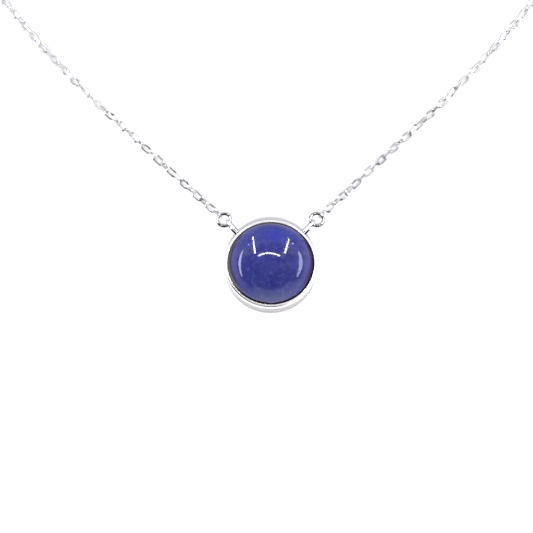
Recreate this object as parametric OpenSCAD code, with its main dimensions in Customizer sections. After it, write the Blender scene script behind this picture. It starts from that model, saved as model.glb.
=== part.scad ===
// Pendant necklace: a round cabochon in a plain bezel, hung from two soldered loops
// between two lengths of cable chain, with a spring-ring clasp and a tag to hook it to.
// It lies flat and unfastened on a table: +Z is up, the table is at z = 0, and the
// origin is the middle of the pendant's back. The chain runs up along +Y.

/* [Stone] */
// Diameter of the cabochon
stone_d = 12; // [11.5:0.1:12.5]
// Height of the cabochon from its flat base to its crown
stone_h = 4.3; // [3.6:0.1:4.8]
// Height of the straight side below the dome
girdle_h = 0.9; // [0.7:0.1:1.1]

/* [Bezel] */
// Thickness of the bezel's wall
wall_t = 0.28; // [0.24:0.02:0.36]
// Thickness of the back plate
plate_t = 0.5; // [0.4:0.05:0.6]
// Height of the inner ring that carries the stone
seat_h = 0.5; // [0.4:0.05:0.6]
// Width of that ring
seat_w = 0.8; // [0.6:0.1:1.2]
// How far the burnished lip reaches in over the stone
lip_over = 0.17; // [0.1:0.01:0.22]
// Thickness of the lip at its edge
lip_t = 0.24; // [0.16:0.01:0.3]

/* [Loops and rings] */
// Angle of each soldered loop above the pendant's sideways axis
loop_angle = 47; // [40:1:55]
// Length of a soldered loop, before its end is cut to the bezel
loop_l = 3.2; // [2.8:0.1:3.6]
// Width of a soldered loop
loop_w = 1.6; // [1.5:0.05:1.8]
// Wire diameter of a soldered loop
loop_wire = 0.36; // [0.3:0.02:0.4]
// How far a soldered loop's tip stands out from the bezel
loop_out = 2.9; // [2.5:0.1:3.1]
// Outer diameter of the jump rings beside the pendant
ring_d = 2.2; // [2:0.05:2.5]
// Wire diameter of the jump rings beside the pendant
ring_wire = 0.34; // [0.3:0.02:0.38]

/* [Chain] */
// Outer width of a chain link
link_w = 1.1; // [1.05:0.01:1.2]
// Wire diameter of a chain link
link_wire = 0.3; // [0.26:0.01:0.31]
// Distance from one link's middle to the next
pitch = 1.34; // [1.25:0.01:1.4]
// Links in each of the chain's parts
part_links = 20; // [16:2:24]

/* [Chain route] */
// Direction in which the chain leaves the pendant
start_heading = 44.3; // [40:0.1:50]
// Length of chain that leaves the pendant in a straight line
straight_l = 22; // [15:1:30]
// Length of chain at which its gentle bend ends
gentle_l = 52; // [45:1:60]
// Turn for each millimetre of the gentle bend
gentle_turn = 0.29; // [0.2:0.01:0.35]
// Length of chain at which its rounder bend ends
round_l = 140; // [120:1:150]
// Turn for each millimetre of the rounder bend
round_turn = 0.5; // [0.4:0.01:0.55]

/* [Clasp] */
// Outer diameter of the spring-ring clasp
clasp_d = 6; // [5.8:0.1:6.4]
// Diameter of the clasp's tube
tube_d = 1.5; // [1.4:0.05:1.6]
// Bore of the clasp's tube
bore_d = 1.0; // [0.95:0.05:1.1]
// Diameter of the clasp's bolt
bolt_d = 0.84; // [0.8:0.02:0.88]
// Opening of the clasp, as an angle about its middle
gap_angle = 60; // [55:1:64]
// Outer diameter of the loop soldered to the clasp
clasp_loop_d = 1.8; // [1.7:0.05:2]
// Wire diameter of that loop
clasp_loop_wire = 0.36; // [0.32:0.02:0.4]
// Turns of the spring in the clasp
spring_turns = 9; // [6:1:12]
// Wire diameter of the spring
spring_wire = 0.12; // [0.1:0.01:0.14]
// Outer diameter of the jump rings at the chain's ends
end_ring_d = 1.9; // [1.85:0.05:2]
// Wire diameter of the jump rings at the chain's ends
end_ring_wire = 0.32; // [0.3:0.01:0.34]

/* [Tag] */
// Length of the tag
tag_l = 5.4; // [5:0.1:6]
// Width of the tag
tag_w = 2.8; // [2.6:0.1:3.2]
// Thickness of the tag
tag_t = 0.4; // [0.35:0.05:0.45]
// Diameter of the tag's hole for the clasp
tag_hole_d = 1.7; // [1.5:0.1:1.8]
// Diameter of the tag's hole for its jump ring
tag_eye_d = 0.84; // [0.76:0.02:0.9]

/* [Hidden] */
$fn = 48;
gap = 0.02;                 // clearance between pieces that touch on the real necklace
stone_r = stone_d / 2;
bezel_r = stone_r + gap + wall_t;
seat_z = plate_t + seat_h;
girdle_z = seat_z + girdle_h;
dome_h = stone_h - girdle_h;
lip_r = stone_r - lip_over + gap;
roll_w = bezel_r - lip_r;
roll_h = 0.55;              // height over which the wall rolls in to the lip
chamfer = 0.12;             // on the back plate's edge and round the stone's base
round_fn = 120;
dome_steps = 24;
roll_steps = 6;

loop_z = loop_w / 2 + gap;  // the loops stand just clear of the table
ring_r = (ring_d - ring_wire) / 2;
ring_x = bezel_r + loop_out - loop_wire - gap - ring_wire / 2 + ring_r;

link_r = (link_w - link_wire) / 2;
contact = (link_wire + gap) / 2;  // from where two links meet to the middle of either wire
arc_x = pitch / 2 + contact - link_r;
lie_z = link_w / 2 + gap;
settle_l = 4;               // length of chain over which it comes down to the table
chain_x = ring_x + ring_r - (ring_wire + link_wire) / 2 - gap + contact;
chain_parts = 7;
last = chain_parts * part_links;
chain_l = last * pitch;

tube_r = tube_d / 2;
clasp_r = clasp_d / 2 - tube_r;
clasp_z = tube_r + gap;
end_z = end_ring_d / 2 + gap;
end_r = (end_ring_d - end_ring_wire) / 2;
end_drop = end_z - clasp_z; // how far an end ring's middle is above what it joins
clasp_loop_r = (clasp_loop_d - clasp_loop_wire) / 2;

// how far along the chain's line the end pieces are past the chain's end: each hangs
// inside a ring that stands on edge, with its wire against the ring's inside
function inside_end_ring(wire) =
    sqrt(pow(end_r - (wire + end_ring_wire) / 2 - gap, 2) - pow(end_drop, 2));
end_ring_x = contact + inside_end_ring(link_wire);
clasp_loop_x = end_ring_x + inside_end_ring(clasp_loop_wire) + clasp_loop_r;
clasp_solder = 0.25;        // how far the clasp's loop runs into its tube
clasp_x = clasp_loop_x + (clasp_d + clasp_loop_d) / 2 - clasp_solder;

// angles about the clasp's middle, from its soldered loop
gap_start = 70;
gap_end = gap_start + gap_angle;
pocket_start = gap_start - 20;  // bottom of the pocket that takes the bolt's tip
bolt_start = gap_start - 6;     // the bolt's tip
bolt_end = gap_end + 80;        // the bolt's other end, against the spring
trigger_at = gap_end + 20;
stop_at = gap_end + 200;        // end of the bore behind the spring
bolt_travel = 78;
slot_margin = 7;                // slot left beyond the trigger at either end
spring_margin = 2;              // between the spring's ends and what they push on
overcut = 1;                    // how far the bores run on into the opening

trigger_d = 0.34;
slot_w = trigger_d + 0.1;
knob_d = 0.8;
spring_r = bore_d / 2 - spring_wire;
spring_sides = 6;
spring_steps = 12;              // rings of points for each turn of the spring

tag_land = 0.3;                 // metal between the tag's eye and its end
tag_drop = 0.07;                // how far the tag's middle hangs below the clasp's
tag_z = clasp_z - tag_drop;
tag_tilt = asin((tag_z - tag_t / 2 - gap) / (tag_l - tag_land));

// ---- route of the right-hand chain; the left-hand one is its mirror image ----

function heading(s) = start_heading
    + gentle_turn * max(0, min(s, gentle_l) - straight_l)
    + round_turn * max(0, min(s, round_l) - gentle_l);

function fade(t) = t < 1 ? pow(1 - t, 2) : 0;

function height(s) = lie_z
    + (loop_z - lie_z) * fade(s / settle_l)
    + (clasp_z - lie_z) * fade((chain_l - s) / settle_l);

start_point = chain_x * [cos(loop_angle), sin(loop_angle)];

// where each link meets the next, seen from above
meets = [
    for (i = 0, p = start_point;
         i <= last;
         h = heading((i + 0.5) * pitch), p = p + pitch * [cos(h), sin(h)], i = i + 1)
        p
];

function meet(i) = [meets[i].x, meets[i].y, height(i * pitch)];

end_heading = heading(chain_l);

// ---- shapes that repeat ----

// an oval wire loop lying flat, long along X
module oval(arc_middle, r, wire) {
    for (side = [0, 180])
        rotate([0, 0, side]) {
            translate([arc_middle, 0, 0])
                rotate([0, 0, -90])
                    rotate_extrude(angle = 180)
                        translate([r, 0])
                            circle(d = wire);
            translate([0, r, 0])
                rotate([0, 90, 0])
                    cylinder(d = wire, h = 2 * arc_middle, center = true);
        }
}

// a round wire ring lying flat
module ring(r, wire) {
    rotate_extrude()
        translate([r, 0])
            circle(d = wire);
}

// a bent bar of round section, from one angle to another about Z
module bent_bar(r, d, from, to) {
    rotate([0, 0, from])
        rotate_extrude(angle = to - from)
            translate([r, 0])
                circle(d = d);
}

// link number i of a chain: the even ones stand on edge, the odd ones lie flat
module chain_link(i) {
    a = meet(i);
    b = meet(i + 1);
    run = norm([b.x - a.x, b.y - a.y]);
    translate((a + b) / 2)
        rotate([0, -atan2(b.z - a.z, run), atan2(b.y - a.y, b.x - a.x)])
            rotate([i % 2 == 0 ? 90 : 0, 0, 0])
                oval(arc_x, link_r, link_wire);
}

module chain(part) {
    color("silver")
        for (i = [(part - 1) * part_links : part * part_links - 1])
            chain_link(i);
}

// the frame at the far end of the right-hand chain, with X along the chain
module at_end() {
    translate([meets[last].x, meets[last].y, 0])
        rotate([0, 0, end_heading])
            children();
}

module left() {
    mirror([1, 0, 0])
        children();
}

// ---- pendant ----

module back_plate() {
    color("silver")
        rotate_extrude($fn = round_fn)
            polygon([
                [0, 0], [bezel_r - chamfer, 0], [bezel_r, chamfer],
                [bezel_r, plate_t], [0, plate_t]
            ]);
}

module seat_ring() {
    color("silver")
        rotate_extrude($fn = round_fn)
            translate([stone_r - seat_w, plate_t])
                square([seat_w, seat_h]);
}

module cabochon() {
    color("midnightblue")
        rotate_extrude($fn = round_fn)
            polygon([
                [0, seat_z], [stone_r - chamfer, seat_z], [stone_r, seat_z + chamfer],
                for (i = [0 : dome_steps])
                    let (a = 90 * i / dome_steps)
                    [stone_r * cos(a), girdle_z + dome_h * sin(a)]
            ]);
}

module bezel_wall() {
    // the wall's inside follows the stone up to the lip's edge
    lip_turn = acos(lip_r / (stone_r + gap));
    lip_z = girdle_z + (dome_h + gap) * sin(lip_turn);
    // its outside rolls over to the lip along a quarter of an ellipse
    roll_z = lip_z + lip_t - roll_h;
    color("silver")
        rotate_extrude($fn = round_fn)
            polygon([
                [stone_r + gap, plate_t], [bezel_r, plate_t],
                for (i = [0 : roll_steps])
                    let (a = 90 * i / roll_steps)
                    [lip_r + roll_w * cos(a), roll_z + roll_h * sin(a)],
                for (i = [roll_steps : -1 : 0])
                    let (a = lip_turn * i / roll_steps)
                    [(stone_r + gap) * cos(a), girdle_z + (dome_h + gap) * sin(a)]
            ]);
}

module soldered_loop() {
    color("silver")
        rotate([0, 0, loop_angle])
            difference() {
                translate([bezel_r + loop_out - loop_l / 2, 0, loop_z])
                    rotate([90, 0, 0])
                        oval((loop_l - loop_w) / 2, (loop_w - loop_wire) / 2, loop_wire);
                cylinder(r = bezel_r, h = 2 * loop_w, $fn = round_fn);
            }
}

module jump_ring() {
    color("silver")
        rotate([0, 0, loop_angle])
            translate([ring_x, 0, loop_z])
                ring(ring_r, ring_wire);
}

// ---- ends of the chain ----

module end_ring() {
    color("silver")
        at_end()
            translate([end_ring_x, 0, end_z])
                rotate([90, 0, 0])
                    ring(end_r, end_ring_wire);
}

// the clasp's own frame: X points back to its soldered loop
module at_clasp() {
    at_end()
        translate([clasp_x, 0, clasp_z])
            rotate([0, 0, 180])
                children();
}

module clasp_loop() {
    color("silver")
        at_clasp()
            difference() {
                translate([clasp_x - clasp_loop_x, 0, 0])
                    ring(clasp_loop_r, clasp_loop_wire);
                cylinder(d = clasp_d, h = tube_d, center = true);
            }
}

module clasp_body() {
    color("silver")
        at_clasp()
            difference() {
                bent_bar(clasp_r, tube_d, gap_end, gap_start + 360);
                bent_bar(clasp_r, bore_d, gap_end - overcut, stop_at);
                bent_bar(clasp_r, bore_d, pocket_start, gap_start + overcut);
                rotate([0, 0, trigger_at - slot_margin])
                    rotate_extrude(angle = bolt_travel + 2 * slot_margin)
                        translate([clasp_r, -slot_w / 2])
                            square([tube_d, slot_w]);
            }
}

module clasp_bolt() {
    color("silver")
        at_clasp()
            union() {
                bent_bar(clasp_r, bolt_d, bolt_start, bolt_end);
                rotate([0, 0, bolt_start])
                    translate([clasp_r, 0, 0])
                        sphere(d = bolt_d);
                rotate([0, 0, trigger_at])
                    translate([clasp_r, 0, 0])
                        rotate([0, 90, 0])
                            cylinder(d = trigger_d, h = tube_r + knob_d / 2);
                rotate([0, 0, trigger_at])
                    translate([clasp_r + tube_r + knob_d / 2 + gap, 0, 0])
                        sphere(d = knob_d);
            }
}

// one ring of points of the spring's wire, at t from 0 to 1 along it
function spring_point(t, coil_r) =
    let (from = bolt_end + spring_margin,
         along = from + t * (stop_at - spring_margin - from),
         turn = 360 * spring_turns * t,
         out = clasp_r + coil_r * cos(turn))
    [out * cos(along), out * sin(along), coil_r * sin(turn)];

module clasp_spring() {
    n = spring_turns * spring_steps;
    // each ring of the wire lies in the plane through its turn's own axis
    points = [
        for (i = [0 : n], k = [0 : spring_sides - 1])
            let (t = i / n, side = 360 * k / spring_sides, w = spring_wire / 2,
                 middle = spring_point(t, spring_r),
                 further = spring_point(t, spring_r + 1) - middle,
                 ahead = spring_point(t + 0.01 / n, spring_r) - middle,
                 across = cross(ahead, further))
            middle + w * (cos(side) * further / norm(further) + sin(side) * across / norm(across))
    ];
    first_cap = [for (k = [spring_sides - 1 : -1 : 0]) k];
    last_cap = [for (k = [0 : spring_sides - 1]) n * spring_sides + k];
    sides = [
        for (i = [0 : n - 1], k = [0 : spring_sides - 1])
            let (a = i * spring_sides + k, b = i * spring_sides + (k + 1) % spring_sides)
            [a, b, b + spring_sides, a + spring_sides]
    ];
    color("gainsboro")
        at_clasp()
            polyhedron(points, concat([first_cap], [last_cap], sides));
}

// the tag lies with its far end on the table, and its eye's land is inside its jump ring
module tag() {
    ring_inside = end_r - end_ring_wire / 2 - gap;
    land_low = end_z - tag_z + tag_t / 2;
    land_x = end_ring_x + sqrt(pow(ring_inside, 2) - pow(land_low, 2)) - tag_land - gap;
    color("silver")
        at_end()
            translate([land_x, 0, tag_z])
                rotate([0, tag_tilt, 0])
                    translate([0, 0, -tag_t / 2])
                        difference() {
                            union() {
                                for (x = [tag_w / 2, tag_l - tag_w / 2])
                                    translate([x, 0, 0])
                                        cylinder(d = tag_w, h = tag_t);
                                translate([tag_w / 2, -tag_w / 2, 0])
                                    cube([tag_l - tag_w, tag_w, tag_t]);
                            }
                            translate([tag_land + tag_eye_d / 2, 0, -tag_t])
                                cylinder(d = tag_eye_d, h = 3 * tag_t);
                            translate([tag_l - tag_w / 2, 0, -tag_t])
                                cylinder(d = tag_hole_d, h = 3 * tag_t);
                        }
}

back_plate();
bezel_wall();
seat_ring();
cabochon();
left() soldered_loop();  // left_loop
soldered_loop();  // right_loop
left() jump_ring();  // left_ring
jump_ring();  // right_ring
left() chain(1);  // left_chain_1
left() chain(2);  // left_chain_2
left() chain(3);  // left_chain_3
left() chain(4);  // left_chain_4
left() chain(5);  // left_chain_5
left() chain(6);  // left_chain_6
left() chain(7);  // left_chain_7
chain(1);  // right_chain_1
chain(2);  // right_chain_2
chain(3);  // right_chain_3
chain(4);  // right_chain_4
chain(5);  // right_chain_5
chain(6);  // right_chain_6
chain(7);  // right_chain_7
left() end_ring();  // clasp_ring
left() clasp_body();
left() clasp_loop();
left() clasp_bolt();
left() clasp_spring();
end_ring();  // tag_ring
tag();
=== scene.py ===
"""Looks of the pendant necklace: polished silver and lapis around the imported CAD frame.

Lengths are millimetres, as in the CAD source, and MM turns them into metres. Angles are degrees, apart
from the few that are marked as radians.
"""

import math
import random

import bmesh
import bpy
from mathutils import Matrix, Vector


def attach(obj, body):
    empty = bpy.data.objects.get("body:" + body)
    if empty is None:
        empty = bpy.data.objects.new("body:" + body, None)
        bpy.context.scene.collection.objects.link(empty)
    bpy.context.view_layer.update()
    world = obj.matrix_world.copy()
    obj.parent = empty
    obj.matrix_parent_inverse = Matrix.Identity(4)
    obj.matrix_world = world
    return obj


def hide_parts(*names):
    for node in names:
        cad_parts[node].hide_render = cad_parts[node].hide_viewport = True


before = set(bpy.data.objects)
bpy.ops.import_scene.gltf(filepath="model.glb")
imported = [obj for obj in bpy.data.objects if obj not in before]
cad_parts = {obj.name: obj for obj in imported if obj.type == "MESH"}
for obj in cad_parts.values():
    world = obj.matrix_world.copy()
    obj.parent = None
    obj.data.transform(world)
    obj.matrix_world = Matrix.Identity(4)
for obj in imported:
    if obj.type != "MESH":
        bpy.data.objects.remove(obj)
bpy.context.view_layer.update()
MM = 0.001
rng = random.Random(7)


def new_object(name, data):
    """An object in the scene that shows this mesh, light or camera."""
    made = bpy.data.objects.new(name, data)
    bpy.context.scene.collection.objects.link(made)
    return made


# ---- camera -------------------------------------------------------------------------------

CAMERA_AT = (-0.661, -30.076, 92.243)
CAMERA_TILT = 18.28             # off the vertical
CAMERA_TURN = -0.15             # about the vertical
CAMERA_LENS = 47.28
CAMERA_NEAR = 5

camera = new_object("camera", bpy.data.cameras.new("camera"))
camera.location = Vector(CAMERA_AT) * MM
camera.rotation_euler = (math.radians(CAMERA_TILT), 0, math.radians(CAMERA_TURN))
camera.data.sensor_width = 36
camera.data.lens = CAMERA_LENS
camera.data.clip_start = CAMERA_NEAR * MM
bpy.context.scene.camera = camera

# ---- sizes, the same as the CAD's ---------------------------------------------------------

GAP = 0.02                      # left between pieces that touch on the real necklace

STONE_R = 6.0
SEAT_Z = 1.0                    # the stone's flat underside
GIRDLE_Z = 1.9                  # where its side turns into the dome
DOME_H = 3.4

BEZEL_R = 6.3
LIP_R = 5.85                    # the opening that the stone shows through
LIP_T = 0.24
ROLL_H = 0.55                   # height of the bezel's rounded shoulder
PLATE_T = 0.5
EDGE_R = 0.12                   # rounding of the stone's and the plate's lower edge

LOOP_ANGLE = 47.0               # direction from the pendant's middle to a loop
LOOP_WIRE = 0.36
LOOP_L, LOOP_W = 3.2, 1.6
LOOP_TIP = 9.2
LOOP_Z = LOOP_W / 2 + GAP
LOOP_SIDE = (LOOP_W - LOOP_WIRE) / 2

RING_R = 0.93                   # rings and links are measured to the middle of their wire
RING_WIRE = 0.34
RING_X = 9.58

LINK_R = 0.4
LINK_WIRE = 0.3
PITCH = 1.34
CONTACT = (LINK_WIRE + GAP) / 2
ARC_X = PITCH / 2 + CONTACT - LINK_R
PARTS, PART_LINKS = 7, 20
LAST = PARTS * PART_LINKS
CHAIN_L = LAST * PITCH
CHAIN_X = RING_X + RING_R - (RING_WIRE + LINK_WIRE) / 2 - GAP + CONTACT
LIE_Z = 0.57                    # the chain's height on the table
CLASP_Z = 0.77                  # and its height at the clasp
SETTLE_L = 4                    # the length over which it changes height at each end
START_HEADING = 44.3
CURVES = ((22, 52, 0.29), (52, 140, 0.5))       # start, end, and turn per millimetre

END_RING_R = 0.79
END_RING_WIRE = 0.32
END_RING_X, END_RING_Z = 0.5742, 0.97
TAG_X, TAG_Z, TAG_TILT = 0.6430, 0.70, 5.4005
TAG_L, TAG_W, TAG_T = 5.4, 2.8, 0.4
TAG_EDGE = 0.13
TAG_EYE_R, TAG_EYE_X = 0.42, 0.72
TAG_HOLE_R, TAG_HOLE_X = 0.85, 4.0

# ---- node helpers -------------------------------------------------------------------------

MIX_SHARE, MIX_A, MIX_B, MIX_RESULT = 0, 6, 7, 2        # a Mix node's sockets for colours


class Nodes:
    """A short way to build a node tree. Any value may be a constant or another node's output."""

    def __init__(self, tree):
        self.tree = tree
        tree.nodes.clear()

    def plug(self, socket, value):
        if isinstance(value, bpy.types.NodeSocket):
            self.tree.links.new(value, socket)
        else:
            socket.default_value = value

    def add(self, kind, values=None, **settings):
        node = self.tree.nodes.new(kind)
        for name, value in settings.items():
            setattr(node, name, value)
        for name, value in (values or {}).items():
            self.plug(node.inputs[name], value)
        return node

    def place(self):
        """Where a point of the object is at rest, in metres."""
        return self.add("ShaderNodeTexCoord").outputs["Object"]

    def xyz(self, vector):
        parts = self.add("ShaderNodeSeparateXYZ", {"Vector": vector})
        return [parts.outputs[k] for k in "XYZ"]

    def noise(self, where, size, detail=3.0, roughness=0.55, distortion=0.0):
        """Noise from 0 to 1, with features of about this size."""
        made = self.add("ShaderNodeTexNoise", {
            "Vector": where, "Scale": 1 / (size * MM), "Detail": detail,
            "Roughness": roughness, "Distortion": distortion})
        return made.outputs["Fac"]

    def ramp(self, value, low, high, to_low=0.0, to_high=1.0, curve="LINEAR"):
        made = self.add("ShaderNodeMapRange", {
            "Value": value, "From Min": low, "From Max": high, "To Min": to_low, "To Max": to_high},
            interpolation_type=curve)
        return made.outputs["Result"]

    def smooth(self, value, low, high, to_low=0.0, to_high=1.0):
        return self.ramp(value, low, high, to_low, to_high, "SMOOTHSTEP")

    def span(self, value, low, high, to_low=0.0, to_high=1.0):
        """A smooth step of a coordinate, between two places in millimetres."""
        return self.smooth(value, low * MM, high * MM, to_low, to_high)

    def math(self, operation, a, b=0.0):
        return self.add("ShaderNodeMath", {0: a, 1: b}, operation=operation).outputs[0]

    def times(self, a, b):
        return self.math("MULTIPLY", a, b)

    def plus(self, a, b):
        return self.math("ADD", a, b)

    def away(self, value, middle):
        """How far a coordinate is from a place in millimetres."""
        return self.math("ABSOLUTE", self.math("SUBTRACT", value, middle * MM))

    def from_axis(self, x, y):
        return self.math("SQRT", self.plus(self.math("POWER", x, 2), self.math("POWER", y, 2)))

    def spot(self, where, middle, size, core, share):
        """A soft round mask: share inside its core, which is a part of its size, and nothing outside."""
        far = self.add("ShaderNodeVectorMath", {0: where, 1: tuple(c * MM for c in middle)},
                       operation="DISTANCE")
        return self.span(far.outputs["Value"], size, size * core, 0.0, share)

    def mix(self, share, a, b):
        """A colour between a and b."""
        node = self.add("ShaderNodeMix", data_type="RGBA")
        self.plug(node.inputs[MIX_SHARE], share)
        for index, color in ((MIX_A, a), (MIX_B, b)):
            fixed = not isinstance(color, bpy.types.NodeSocket)
            self.plug(node.inputs[index], (*color, 1) if fixed else color)
        return node.outputs[MIX_RESULT]

    def bump(self, height, depth, normal=None):
        values = {"Height": height, "Strength": 1.0, "Distance": depth * MM}
        if normal is not None:
            values["Normal"] = normal
        return self.add("ShaderNodeBump", values).outputs["Normal"]


def new_material(name):
    """A material, its node helper and its Principled shader's inputs."""
    material = bpy.data.materials.new(name)
    material.use_nodes = True
    n = Nodes(material.node_tree)
    shader = n.add("ShaderNodeBsdfPrincipled")
    n.add("ShaderNodeOutputMaterial", {"Surface": shader.outputs["BSDF"]})
    return material, n, shader.inputs


# ---- silver -------------------------------------------------------------------------------

BRIGHT = (0.92, 0.91, 0.91)
TARNISH = (0.93, 0.9, 0.85)     # what tarnish multiplies the silver's colour by
# the dark colour of the painted shade, the painted dark reflections and the chain's dark spots
DARK_SHADE_AND_SPOTS = (0.02, 0.02, 0.025)
SPOTS_FULL_Y, SPOTS_END_Y = 20, 36     # how far up the chain the dark spots keep their full strength, and how far any reach
WIPE_TURN = 1.1                 # between the two ways that the silver was wiped, in radians


def bezel_shade_and_reflection(n, where):
    """Painted shade makes the side a little greyer than the rim, and a painted dark reflection runs as a
    line round the rim's front left.
    """
    x, y, z = n.xyz(where)
    out = n.from_axis(x, y)
    # painted shade on the side, and a painted dark reflection as a line round the front
    side = n.times(n.span(out, BEZEL_R - 0.08, BEZEL_R - 0.01), n.span(z, 2.7, 2.0, 0.0, 0.55))
    line = n.times(n.span(n.away(out, LIP_R + 0.27), 0.08, 0.04), n.span(z, 2.2, 2.4))
    frontward = n.plus(n.times(x, -0.42), n.times(y, -0.91))
    return n.math("MAXIMUM", side, n.times(line, n.span(frontward, 3.6, 5.2, 0.0, 0.8)))


def loop_gap_shade(n, where):
    """Painted shade inside a soldered loop, on its wires part way out from the bezel, where the opening
    between them lies in shadow.
    """
    x, y, z = n.xyz(where)
    out = n.from_axis(x, y)
    # painted shade, part way along the loop
    along = n.times(n.span(out, BEZEL_R + 0.6, BEZEL_R + 0.8), n.span(out, LOOP_TIP - 1.0, LOOP_TIP - 1.4))
    return n.times(n.span(n.away(z, LOOP_Z), LOOP_SIDE + 0.04, LOOP_SIDE - 0.08), along)


def ring_dark_reflection(n, where):
    """Painted dark reflections along a jump ring's outer and inner edges, broken into patches."""
    # painted dark reflection on the wire's sides
    level = n.away(n.xyz(where)[2], LOOP_Z)
    patches = n.smooth(n.noise(where, 0.5, detail=2), 0.3, 0.4)
    return n.times(n.span(level, RING_WIRE / 2 - 0.01, RING_WIRE / 2 - 0.025), patches)


def near_link_spots(n, where):
    """Dark spots on the links near the pendant, a few more towards the right."""
    x, y, _ = n.xyz(where)
    rightward = n.span(x, -8, 8, 0.0, 0.035)
    spots = n.smooth(n.plus(n.noise(where, 0.7, detail=2), rightward), 0.61, 0.66, 0.0, 0.85)
    return n.times(spots, n.span(y, SPOTS_END_Y, SPOTS_FULL_Y))


def silver(name, roughness, scratch, darkening=None, metal=1.0):
    """Sterling silver with wipe marks as fine as scratch, faint tarnish and a soft orange peel."""
    material, n, shader = new_material(name)
    where = n.place()
    cloud = n.noise(where, 1.8, detail=4)
    tarnished = tuple(c * share for c, share in zip(BRIGHT, TARNISH))
    color = n.mix(n.smooth(cloud, 0.52, 0.75, 0.0, 0.35), BRIGHT, tarnished)
    # the darkening mixes in painted shade and dark reflections on the bezel, loops and rings, and dark spots
    # on the chain
    if darkening:
        color = n.mix(darkening(n, where), color, DARK_SHADE_AND_SPOTS)
    lengthwise = n.add("ShaderNodeMapping", {"Vector": where, "Scale": (1, 0.06, 1)})
    across = n.add("ShaderNodeMapping", {
        "Vector": where, "Rotation": (0, 0, WIPE_TURN), "Scale": (0.05, 1, 1)})
    hairs = [n.noise(way.outputs["Vector"], scratch, detail=2) for way in (lengthwise, across)]
    wipe = n.smooth(n.math("MAXIMUM", *hairs), 0.6, 0.78)
    uneven = n.ramp(cloud, 0.3, 0.7, roughness * 0.75, roughness * 1.25)
    peel = n.noise(where, 0.35, detail=1)
    n.plug(shader["Metallic"], metal)
    n.plug(shader["Base Color"], color)
    n.plug(shader["Roughness"], n.plus(uneven, n.times(wipe, 0.08)))
    n.plug(shader["Normal"], n.bump(wipe, -0.0012, n.bump(peel, 0.0022)))
    return material


def spring_steel():
    material, n, shader = new_material("spring_steel")
    where = n.place()
    cloud = n.noise(where, 0.6, detail=3)
    n.plug(shader["Metallic"], 1.0)
    n.plug(shader["Base Color"], n.mix(cloud, (0.48, 0.48, 0.5), (0.62, 0.61, 0.6)))
    n.plug(shader["Roughness"], n.ramp(cloud, 0.3, 0.7, 0.25, 0.4))
    n.plug(shader["Normal"], n.bump(n.noise(where, 0.05, detail=2), 0.002))
    return material


# ---- lapis --------------------------------------------------------------------------------

# each is a place and a size
DARK_SPOTS = (((-2.7, -0.2, 4.9), 2.0), ((2.0, -0.3, 5.1), 1.8),
              ((0.2, -3.4, 4.7), 1.3), ((2.3, -2.8, 4.5), 2.2))
INCLUSIONS = (((2.92, 2.08, 4.63), 0.2), ((-2.96, 1.92, 4.65), 0.14))


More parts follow.
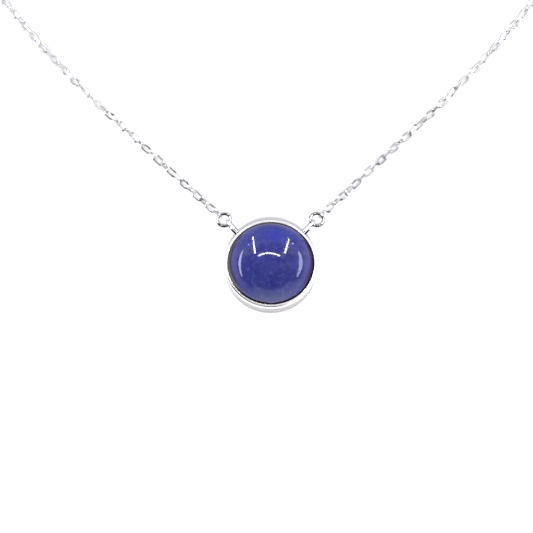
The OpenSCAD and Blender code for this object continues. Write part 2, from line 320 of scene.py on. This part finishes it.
def lapis():
    """Deep blue stone: cloudy mottling, fine grain, few pale flecks, a glossy polish with tiny pits."""
    material, n, shader = new_material("lapis")
    where = n.place()
    x, y, _ = n.xyz(where)
    out = n.from_axis(x, y)
    eastward = n.math("DIVIDE", x, n.math("MAXIMUM", out, 0.1 * MM))
    sideways = n.math("POWER", eastward, 2)
    cloud = n.noise(where, 3.4, detail=3, distortion=0.6)
    grain = n.noise(where, 0.6, detail=4, roughness=0.62)
    cells = n.add("ShaderNodeTexVoronoi", {"Vector": where, "Scale": 1 / (0.62 * MM), "Randomness": 1.0})
    fleck = n.times(n.smooth(cells.outputs["Distance"], 0.16, 0.05),
                    n.smooth(n.noise(where, 2.1, detail=2), 0.6, 0.68))
    # a painted reflection as a paler band at the stone's sides, and painted shade as a crescent outside it
    side_reflection_band = n.times(n.span(out, LIP_R - 1.45, LIP_R - 1.05), sideways)
    side_shade_crescent = n.times(n.span(out, LIP_R - 0.69, LIP_R - 0.47), n.smooth(sideways, 0.3, 0.9))
    # the dark edge is painted shade in the gap under the lip; it is uneven, and a little wider at the sides
    uneven = n.times(n.math("SUBTRACT", n.noise(where, 0.9, detail=3), 0.5), 0.25 * MM)
    outwards = n.plus(n.plus(out, n.times(sideways, 0.06 * MM)), uneven)
    edge = n.span(outwards, LIP_R - 0.24, LIP_R - 0.16)
    lip_shine = n.times(n.span(out, LIP_R - 0.33, LIP_R - 0.27), n.smooth(eastward, -0.6, -0.92))

    body = n.mix(n.smooth(cloud, 0.36, 0.66), (0.030, 0.034, 0.170), (0.044, 0.046, 0.225))
    washes = [
        # a purer blue towards the upper edge; towards the lower one a painted dark reflection of the camera,
        # then a greyer painted reflection of the pale front wall
        (n.span(y, 0.4, 4.2), n.mix(cloud, (0.030, 0.039, 0.22), (0.038, 0.049, 0.29))),
        (n.span(y, 0.2, -2.8, 0.0, 0.62), (0.018, 0.022, 0.115)),
        (n.span(y, -3.2, -5.2, 0.0, 0.8), (0.034, 0.044, 0.135)),
        *[(n.spot(where, middle, size, 0.2, 0.42), (0.010, 0.013, 0.105)) for middle, size in DARK_SPOTS],
        # pale and dark grain, and pale flecks
        (n.smooth(grain, 0.5, 0.72, 0.0, 0.3), (0.095, 0.10, 0.28)),
        (n.smooth(grain, 0.5, 0.3, 0.0, 0.5), (0.012, 0.013, 0.09)),
        (n.times(fleck, 0.75), (0.36, 0.36, 0.5)),
        # at its two sides the stone has a paler band, a painted reflection, and outside it a greyer crescent
        # of painted shade
        (n.times(side_reflection_band, 0.4), (0.085, 0.08, 0.27)),
        (n.times(side_shade_crescent, 0.85), (0.022, 0.019, 0.062)),
        # painted shade makes the rim darker at the top, and a painted reflection makes it paler at the
        # bottom
        (n.span(y, 4.4, 5.4, 0.0, 0.8), (0.012, 0.012, 0.12)),
        (n.span(y, -4.6, -5.4, 0.0, 0.7), (0.066, 0.070, 0.155)),
        # a patch of purer blue, and two small pale inclusions
        (n.spot(where, (0.6, 3.2, 4.75), 1.5, 0.2, 0.5), (0.032, 0.036, 0.37)),
        *[(n.spot(where, middle, size, 0.4, 0.7), (0.42, 0.44, 0.55)) for middle, size in INCLUSIONS],
        # painted shade in the gap under the lip, and on the left a painted reflection: the lip's shine on
        # the stone's very edge
        (n.times(edge, 0.98), (0.004, 0.004, 0.009)),
        (lip_shine, (0.12, 0.11, 0.135)),
    ]
    for share, color in washes:
        body = n.mix(share, body, color)

    dull = n.math("MAXIMUM", edge, side_shade_crescent)
    softer_polish = n.span(y, 0.6, 2.4, 1.0, 0.45)
    pits = n.smooth(n.noise(where, 0.12, detail=1), 0.74, 0.8)
    swell = n.noise(where, 2.4, detail=1)
    n.plug(shader["Base Color"], body)
    n.plug(shader["IOR"], 1.5)
    n.plug(shader["Specular IOR Level"], n.times(n.ramp(dull, 0, 1, 0.5, 0.12), softer_polish))
    n.plug(shader["Roughness"], n.plus(n.ramp(grain, 0.3, 0.8, 0.035, 0.09), n.times(dull, 0.4)))
    n.plug(shader["Normal"], n.bump(pits, -0.004, n.bump(swell, 0.006)))
    return material


MATERIALS = {
    "silver": silver("silver", 0.05, 0.05),
    "bezel_silver": silver("bezel_silver", 0.2, 0.05, bezel_shade_and_reflection, metal=0.6),
    "loop_silver": silver("loop_silver", 0.05, 0.05, loop_gap_shade),
    "ring_silver": silver("ring_silver", 0.05, 0.05, ring_dark_reflection),
    "chain_silver": silver("chain_silver", 0.05, 0.04, near_link_spots),
    "satin_silver": silver("satin_silver", 0.32, 0.04, metal=0.8),
    "lapis": lapis(),
    "spring_steel": spring_steel(),
}
# these take the record's slot "silver", and the other materials are named after their slots
SLOTS = dict.fromkeys(("bezel_silver", "loop_silver", "ring_silver", "satin_silver"), "silver")

# ---- mesh helpers -------------------------------------------------------------------------

FACING = "facing"               # each vertex's normal, on the pieces that have flats
SEAM_L = 0.12


def mesh_from(name, bm):
    mesh = bpy.data.meshes.new(name)
    bm.to_mesh(mesh)
    bm.free()
    return mesh


def add_piece(name, bm, material, body, *nodes):
    """Turns a bmesh in millimetres into a smooth piece that stands for CAD nodes."""
    bmesh.ops.recalc_face_normals(bm, faces=bm.faces)
    bmesh.ops.scale(bm, vec=(MM, MM, MM), verts=bm.verts)
    mesh = mesh_from(name, bm)
    mesh.shade_smooth()
    facing = mesh.attributes.get(FACING)
    if facing:
        mesh.normals_split_custom_set_from_vertices([entry.vector for entry in facing.data])
    piece = new_object(name, mesh)
    piece.data.materials.append(MATERIALS[material])
    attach(piece, body)
    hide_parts(*nodes)


def facing_layer(bm):
    return bm.verts.layers.float_vector.get(FACING) or bm.verts.layers.float_vector.new(FACING)


def arc(cx, cz, r, start, end, steps, h=None):
    """Points of an arc, as (x, z). With h it is part of an ellipse with the radii r and h."""
    angles = [math.radians(start + (end - start) * i / steps) for i in range(steps + 1)]
    return [(cx + r * math.cos(a), cz + (h or r) * math.sin(a)) for a in angles]


def circle_line(r, steps, x=0.0, clockwise=False):
    """The points of a whole circle, each once."""
    way = -1 if clockwise else 1
    angles = [2 * math.pi * i / steps for i in range(steps)]
    return [(x + r * math.cos(a), way * r * math.sin(a)) for a in angles]


def oval_line(arc_middle, r, arc_steps, side_steps, blunt=0.0):
    """The closed centre line of an oval link, long along X. blunt swells its corners by that share of r."""
    line = []
    for sign, start in ((1, -90), (-1, 90)):
        for x, y in arc(0, 0, r, start, start + 180, arc_steps):
            swell = 1 + 4 * blunt * (x * y / r ** 2) ** 2
            line.append((sign * arc_middle + x * swell, max(-r, min(r, y * swell))))
        for i in range(1, side_steps):
            line.append((sign * arc_middle * (1 - 2 * i / side_steps), sign * r))
    return line


def outward(line, i):
    """A point of a closed flat line, and the direction out of the line there."""
    before, here, after = (Vector((*line[(i + k) % len(line)], 0)) for k in (-1, 0, 1))
    along = (after - before).normalized()
    return here, Vector((along.y, -along.x, 0))


def join_rows(bm, a, b):
    """Faces between two rings of vertices."""
    for k in range(len(a)):
        m = (k + 1) % len(a)
        bm.faces.new((a[k], a[m], b[m], b[k]))


def skin(bm, rings):
    """Joins rings of points into a closed tube, and gives back its rows of vertices."""
    rows = [[bm.verts.new(p) for p in ring] for ring in rings]
    for i, row in enumerate(rows):
        join_rows(bm, row, rows[(i + 1) % len(rows)])
    return rows


def lathe(bm, profile, segments, uneven):
    """Turns a closed profile of (r, z) about Z. uneven(angle, r, z) is how far a point is moved out."""
    rings = []
    for i in range(segments):
        a = 2 * math.pi * i / segments
        moved = [(r + uneven(a, r, z), z) for r, z in profile]
        rings.append([(r * math.cos(a), r * math.sin(a), z) for r, z in moved])
    skin(bm, rings)


def disc_lathe(bm, profile, segments):
    """Turns a profile that starts and ends on the axis."""
    rows = [[bm.verts.new((x, y, z)) for x, y in circle_line(r, segments)] for r, z in profile[1:-1]]
    for a, b in zip(rows, rows[1:]):
        join_rows(bm, a, b)
    for row, (_, z) in ((rows[0], profile[0]), (rows[-1], profile[-1])):
        middle = bm.verts.new((0, 0, z))
        for i in range(segments):
            bm.faces.new((row[i], row[(i + 1) % segments], middle))


def wire_section(flats, corner, corner_steps):
    """A polygon with rounded corners inside the unit circle, as points with their normals."""
    half = math.pi / flats
    section = []
    for k in range(flats):
        middle = (2 * k + 1) * half
        centre = Vector((math.cos(middle), math.sin(middle))) * (1 - corner)
        for step in range(corner_steps + 1):
            a = middle + half * (2 * step / corner_steps - 1)
            normal = Vector((math.cos(a), math.sin(a)))
            section.append((centre + normal * corner, normal))
    return section


def wire(bm, line, d, place, section, seam=None, seam_grow=0.0):
    """A closed wire of diameter d along a flat line, put in place by a matrix.

    At its solder seam, a point near the line, it is thicker by the share seam_grow.
    """
    layer = facing_layer(bm)
    rotate = place.to_3x3()
    rings, normals = [], []
    for i in range(len(line)):
        here, out = outward(line, i)
        r = d / 2
        if seam is not None:
            away = (here - Vector((*seam, 0))).length
            r *= 1 + seam_grow * math.exp(-((away / SEAM_L) ** 2))
        rings.append([place @ (here + r * (out * at.x + Vector((0, 0, at.y)))) for at, _ in section])
        normals.append([rotate @ (out * facing.x + Vector((0, 0, facing.y))) for _, facing in section])
    for row, row_normals in zip(skin(bm, rings), normals):
        for vert, normal in zip(row, row_normals):
            vert[layer] = normal


def plate(bm, outlines, t, edge, place, edge_steps=5):
    """A flat plate with rounded edges. The outline runs anticlockwise and its holes run clockwise."""
    layer = facing_layer(bm)
    rotate = place.to_3x3()
    turns = [math.radians(90 * i / edge_steps) for i in range(edge_steps + 1)]
    rims = {1: [], -1: []}
    for line in outlines:
        rows = []
        for sign, a in [(-1, a) for a in reversed(turns)] + [(1, a) for a in turns]:
            up = Vector((0, 0, sign))
            row = []
            for i in range(len(line)):
                here, out = outward(line, i)
                at = here - out * edge * (1 - math.cos(a)) + up * (t / 2 - edge * (1 - math.sin(a)))
                vert = bm.verts.new(place @ at)
                vert[layer] = rotate @ (out * math.cos(a) + up * math.sin(a))
                row.append(vert)
            rows.append(row)
        for a, b in zip(rows, rows[1:]):
            join_rows(bm, a, b)
        for sign, row in ((-1, rows[0]), (1, rows[-1])):
            rims[sign] += [bm.edges.get((vert, row[(k + 1) % len(row)])) for k, vert in enumerate(row)]
    for rim in rims.values():
        bmesh.ops.triangle_fill(bm, use_beauty=True, edges=rim)


def turn(axis, degrees):
    return Matrix.Rotation(math.radians(degrees), 4, axis)


def move(x, y, z):
    return Matrix.Translation((x, y, z))


SIDES = {"left": Matrix.Diagonal((-1, 1, 1, 1)), "right": Matrix.Identity(4)}

# ---- stone --------------------------------------------------------------------------------

DISC_STEPS = 224

bm = bmesh.new()
foot = [(0, SEAT_Z), (3, SEAT_Z), *arc(STONE_R - EDGE_R, SEAT_Z + EDGE_R, EDGE_R, -90, 0, 6)]
dome = arc(0, GIRDLE_Z, STONE_R, 0, 90, 60, DOME_H)
disc_lathe(bm, [*foot, *dome[:-1], (0, GIRDLE_Z + DOME_H)], DISC_STEPS)
add_piece("stone", bm, "lapis", "pendant", "cabochon")

# ---- bezel --------------------------------------------------------------------------------

NEST_R, NEST_H = STONE_R + GAP, DOME_H + GAP            # the bezel's inside follows the dome
LIP_TURN = math.degrees(math.acos(LIP_R / NEST_R))      # up to this angle
LIP_TOP = GIRDLE_Z + NEST_H * math.sin(math.radians(LIP_TURN)) + LIP_T
LIP_EDGE_R = LIP_T * 0.3
WORKED_R, WORKED_LOW, WORKED_FULL = 6.2, 2.2, 2.7       # the burnisher works inside and above these
WAVES = ((0.5, 5, 0.7), (0.3, 11, 2.1), (0.2, 23, 4.0))     # share, number in a turn, phase in radians
WAVE_H = 0.012


def hand_worked(a, r, z):
    """The burnisher leaves the lip's edge very slightly uneven."""
    if z < WORKED_LOW or r > WORKED_R:
        return 0
    share = min(1, (z - WORKED_LOW) / (WORKED_FULL - WORKED_LOW))
    return WAVE_H * share * sum(part * math.sin(count * a + phase) for part, count, phase in WAVES)


bm = bmesh.new()
outside = [(BEZEL_R, z) for z in (PLATE_T + GAP, 0.9, 1.4, 1.9)]
roll = arc(LIP_R, LIP_TOP - ROLL_H, BEZEL_R - LIP_R, 0, 80, 20, ROLL_H)
lip_edge = arc(LIP_R + LIP_EDGE_R, LIP_TOP - LIP_EDGE_R * 0.9, LIP_EDGE_R, 90, 180, 5)
inside = [*arc(0, GIRDLE_Z, NEST_R, LIP_TURN, 0, 8, NEST_H), (NEST_R, PLATE_T + GAP)]
lathe(bm, [*outside, *roll, *lip_edge, *inside], 288, hand_worked)
add_piece("bezel", bm, "bezel_silver", "pendant", "bezel_wall")

bm = bmesh.new()
underside = [(0, 0), (2, 0), (4, 0), *arc(BEZEL_R - EDGE_R, EDGE_R, EDGE_R, -90, 0, 6)]
top = [(BEZEL_R, PLATE_T - 0.03), (BEZEL_R - 0.02, PLATE_T), (4, PLATE_T), (0, PLATE_T)]
disc_lathe(bm, [*underside, *top], DISC_STEPS)
add_piece("plate", bm, "bezel_silver", "pendant", "back_plate")

# ---- loops and jump rings -----------------------------------------------------------------

WORKED_SECTION = wire_section(6, 0.35, 3)
LOOP_LINE = oval_line((LOOP_L - LOOP_W) / 2, LOOP_SIDE, 20, 12)
RING_STEPS = 96
RING_SEAM = 2.3                 # where round the ring its seam is, in radians

for side, flip in SIDES.items():
    aim = flip @ turn("Z", LOOP_ANGLE)

    # the loop stands on edge, and its inner end is sunk in the bezel's side
    bm = bmesh.new()
    loop_place = move(LOOP_TIP - LOOP_L / 2, 0, LOOP_Z) @ turn("X", 90)
    wire(bm, LOOP_LINE, LOOP_WIRE, aim @ loop_place, WORKED_SECTION)
    add_piece(f"{side}_bezel_loop", bm, "loop_silver", "pendant", f"{side}_loop")

    bm = bmesh.new()
    seam_at = (RING_R * math.cos(RING_SEAM), RING_R * math.sin(RING_SEAM))
    wire(bm, circle_line(RING_R, RING_STEPS), RING_WIRE, aim @ move(RING_X, 0, LOOP_Z), WORKED_SECTION,
         seam=seam_at, seam_grow=0.03)
    add_piece(f"{side}_jump_ring", bm, "ring_silver", f"{side}_ring", f"{side}_ring")

# ---- chain --------------------------------------------------------------------------------

LINK_LINE = oval_line(ARC_X, LINK_R, 14, 6, blunt=0.09)
LINK_SECTION = wire_section(6, 0.25, 2)
LOOSE = 13                      # how far a link may roll in its neighbours
SEAM_OFF = 0.1                  # how far its seam may be from the middle of its side


def heading(s):
    """The right-hand chain's direction at a distance along it."""
    angle = START_HEADING
    for start, end, rate in CURVES:
        angle += rate * max(0, min(s, end) - start)
    return angle


def fade(t):
    return (1 - t) ** 2 if t < 1 else 0


def height(s):
    at_ring = (LOOP_Z - LIE_Z) * fade(s / SETTLE_L)
    at_clasp = (CLASP_Z - LIE_Z) * fade((CHAIN_L - s) / SETTLE_L)
    return LIE_Z + at_ring + at_clasp


def route():
    """Where each link meets the next, on the right-hand chain."""
    x = CHAIN_X * math.cos(math.radians(LOOP_ANGLE))
    y = CHAIN_X * math.sin(math.radians(LOOP_ANGLE))
    points = []
    for i in range(LAST + 1):
        points.append(Vector((x, y, height(i * PITCH))))
        way = math.radians(heading((i + 0.5) * PITCH))
        x, y = x + PITCH * math.cos(way), y + PITCH * math.sin(way)
    return points


def link_aim(a, b):
    """Lays a link from one meeting point to the next."""
    run = math.hypot(b.x - a.x, b.y - a.y)
    yaw = math.degrees(math.atan2(b.y - a.y, b.x - a.x))
    pitch = math.degrees(math.atan2(b.z - a.z, run))
    return Matrix.Translation((a + b) / 2) @ turn("Z", yaw) @ turn("Y", -pitch)


meets = route()
for side, flip in SIDES.items():
    for part in range(1, PARTS + 1):
        bm = bmesh.new()
        for i in range((part - 1) * PART_LINKS, part * PART_LINKS):
            # every second link stands on edge, and all but the first and the last one roll a little
            loose = LOOSE if 0 < i < LAST - 1 else 0
            roll_by = rng.uniform(-1, 1) * loose + (90 if i % 2 == 0 else 0)
            seam_at = (rng.uniform(-SEAM_OFF, SEAM_OFF), LINK_R if rng.random() < 0.5 else -LINK_R)
            wire(bm, LINK_LINE, LINK_WIRE, flip @ link_aim(meets[i], meets[i + 1]) @ turn("X", roll_by),
                 LINK_SECTION, seam=seam_at, seam_grow=0.04)
        add_piece(f"{side}_links_{part}", bm, "chain_silver", f"{side}_chain_{part}", f"{side}_chain_{part}")

# ---- end rings and tag --------------------------------------------------------------------

END_RING_LINE = circle_line(END_RING_R, RING_STEPS)

end_frame = move(meets[LAST].x, meets[LAST].y, 0) @ turn("Z", heading(CHAIN_L))
for name, flip in (("clasp_ring", SIDES["left"]), ("tag_ring", SIDES["right"])):
    bm = bmesh.new()
    ring_place = move(END_RING_X, 0, END_RING_Z) @ turn("X", 90)
    wire(bm, END_RING_LINE, END_RING_WIRE, flip @ end_frame @ ring_place, WORKED_SECTION)
    add_piece(f"{name}_wire", bm, "silver", name, name)

bm = bmesh.new()
far_end = arc(TAG_L - TAG_W / 2, 0, TAG_W / 2, -90, 90, 48)
near_end = arc(TAG_W / 2, 0, TAG_W / 2, 90, 270, 48)
eye = circle_line(TAG_EYE_R, 48, TAG_EYE_X, clockwise=True)
hole = circle_line(TAG_HOLE_R, 72, TAG_HOLE_X, clockwise=True)
tag_place = move(TAG_X, 0, TAG_Z) @ turn("Y", TAG_TILT)
plate(bm, [far_end + near_end, eye, hole], TAG_T, TAG_EDGE, end_frame @ tag_place)
add_piece("tag_plate", bm, "satin_silver", "tag", "tag")

# ---- carried-over CAD nodes ---------------------------------------------------------------

for name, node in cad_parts.items():
    if node.hide_render:
        continue
    slot = "spring_steel" if name == "clasp_spring" else "silver"
    node.data.materials.clear()
    node.data.materials.append(MATERIALS[slot])

# ---- floor --------------------------------------------------------------------------------

FLOOR_HALF = 3000
FLOOR_DROP = 0.02               # keeps the floor clear of the undersides that rest on it
PAPER = (0.78, 0.78, 0.785, 1)

bm = bmesh.new()
bmesh.ops.create_grid(bm, x_segments=1, y_segments=1, size=FLOOR_HALF * MM)
floor = new_object("floor", mesh_from("floor", bm))
floor.location.z = -FLOOR_DROP * MM
paper, paper_nodes, paper_shader = new_material("paper")
paper_nodes.plug(paper_shader["Base Color"], PAPER)
paper_nodes.plug(paper_shader["Roughness"], 0.7)
floor.data.materials.append(paper)

# ---- lit strips, which only reflections see -----------------------------------------------

STRIP_DISTANCE = 300
COOL, MAUVE = (0.82, 0.84, 1), (0.8, 0.78, 1)


def sky(azimuth, elevation):
    """The direction of a place in the sky. Azimuth 0 is +Y and 90 is +X."""
    a, e = math.radians(azimuth), math.radians(elevation)
    return Vector((math.sin(a) * math.cos(e), math.cos(a) * math.cos(e), math.sin(e)))


def bowed(start, middle, end, steps=8):
    """Directions on a curve from start through middle to end, which are pairs of angles."""
    a, m, b = sky(*start), sky(*middle), sky(*end)
    control = 2 * m - (a + b) / 2
    shares = [i / steps for i in range(steps + 1)]
    return [(1 - t) ** 2 * a + 2 * t * (1 - t) * control + t * t * b for t in shares]


def strip(name, directions, width, strength, color=(1, 1, 1), ends=1.0):
    """A thin lit band along these directions. ends is how wide its ends are, as a share of its width."""
    last = len(directions) - 1
    bm = bmesh.new()
    pairs = []
    for i, direction in enumerate(directions):
        here = direction.normalized() * STRIP_DISTANCE * MM
        ahead = directions[min(i + 1, last)] - directions[max(i - 1, 0)]
        share = ends + (1 - ends) * math.sin(math.pi * i / last)
        across = here.cross(ahead).normalized() * width * MM / 2 * share
        pairs.append((bm.verts.new(here - across), bm.verts.new(here + across)))
    for (a, b), (c, d) in zip(pairs, pairs[1:]):
        bm.faces.new((a, b, d, c))
    band = new_object(name, mesh_from(name, bm))
    material = bpy.data.materials.new(name)
    material.use_nodes = True
    n = Nodes(material.node_tree)
    glow = n.add("ShaderNodeEmission", {"Color": (*color, 1), "Strength": strength})
    n.add("ShaderNodeOutputMaterial", {"Surface": glow.outputs["Emission"]})
    band.data.materials.append(material)
    band.visible_camera = False
    band.visible_diffuse = False
    band.visible_shadow = False


strip("left_strip", bowed((-25.4, 20.6), (-31.7, 40.3), (-42.6, 54.7)), width=11, strength=55)
strip("right_strip", bowed((28.4, 25.2), (32.7, 42.8), (40.4, 56.5)), width=11, strength=55)
strip("back_strip", bowed((-41.3, 61.9), (-5.3, 65.2), (34.3, 65.5)), width=11, strength=32)
strip("left_glow", bowed((-50.7, 28.6), (-76.3, 31.3), (-103.9, 31.3)),
      width=36, strength=11, color=COOL, ends=0.3)
strip("right_glow", bowed((53.8, 30.6), (76.9, 34), (106.4, 38.2)),
      width=56, strength=9, color=MAUVE, ends=0.3)

# ---- lamp and world -----------------------------------------------------------------------

LAMP_DISTANCE, LAMP_SIZE = 400, 35
LAMP_HEIGHT = 60                # above the horizon, in front
LAMP_POWER = 1.38

lamp = new_object("front_lamp", bpy.data.lights.new("front_lamp", "AREA"))
lamp.data.shape = "DISK"
lamp.data.size = LAMP_SIZE * MM
lamp.data.energy = LAMP_POWER
lamp.location = sky(180, LAMP_HEIGHT) * LAMP_DISTANCE * MM
lamp.rotation_euler = (math.radians(90 - LAMP_HEIGHT), 0, 0)
lamp.visible_camera = False
lamp.visible_glossy = False

EVEN_LIGHT = 0.83
SKY_COLOR = (0.95, 0.93, 1, 1)


def light_tent(tree):
    """A studio tent: dark above, lighter to the right, with pale walls in front, behind and at the sides."""
    n = Nodes(tree)
    x, y, z = n.xyz(n.add("ShaderNodeTexCoord").outputs["Generated"])
    ceiling = n.smooth(x, 0.15, 0.45, 0.015, 0.3)
    front = n.times(n.smooth(z, 0.76, 0.70), n.times(n.smooth(y, -0.2, -0.5), n.smooth(x, -0.6, -0.45)))
    sides = n.times(n.smooth(z, 0.5, 0.3), n.smooth(n.math("ABSOLUTE", x), 0.3, 0.7))
    back = n.times(n.smooth(z, 0.82, 0.68), n.smooth(y, 0.3, 0.5))
    walls = n.math("MINIMUM", n.plus(n.times(front, 0.75), n.times(sides, 0.5)), 0.85)
    walls = n.math("MAXIMUM", walls, n.times(back, n.smooth(x, -0.2, -0.36, 0.7, 1.0)))
    # matt surfaces are lit evenly by the whole tent, and the camera sees it plain and pale
    path = n.add("ShaderNodeLightPath").outputs
    strength = n.math("MAXIMUM", n.plus(walls, ceiling), n.times(path["Is Diffuse Ray"], EVEN_LIGHT))
    strength = n.math("MAXIMUM", strength, path["Is Camera Ray"])
    background = n.add("ShaderNodeBackground", {"Color": SKY_COLOR, "Strength": strength})
    n.add("ShaderNodeOutputWorld", {"Surface": background.outputs["Background"]})


world = bpy.data.worlds.new("tent")
bpy.context.scene.world = world
world.use_nodes = True
light_tent(world.node_tree)

bpy.context.scene.view_settings.view_transform = "Standard"
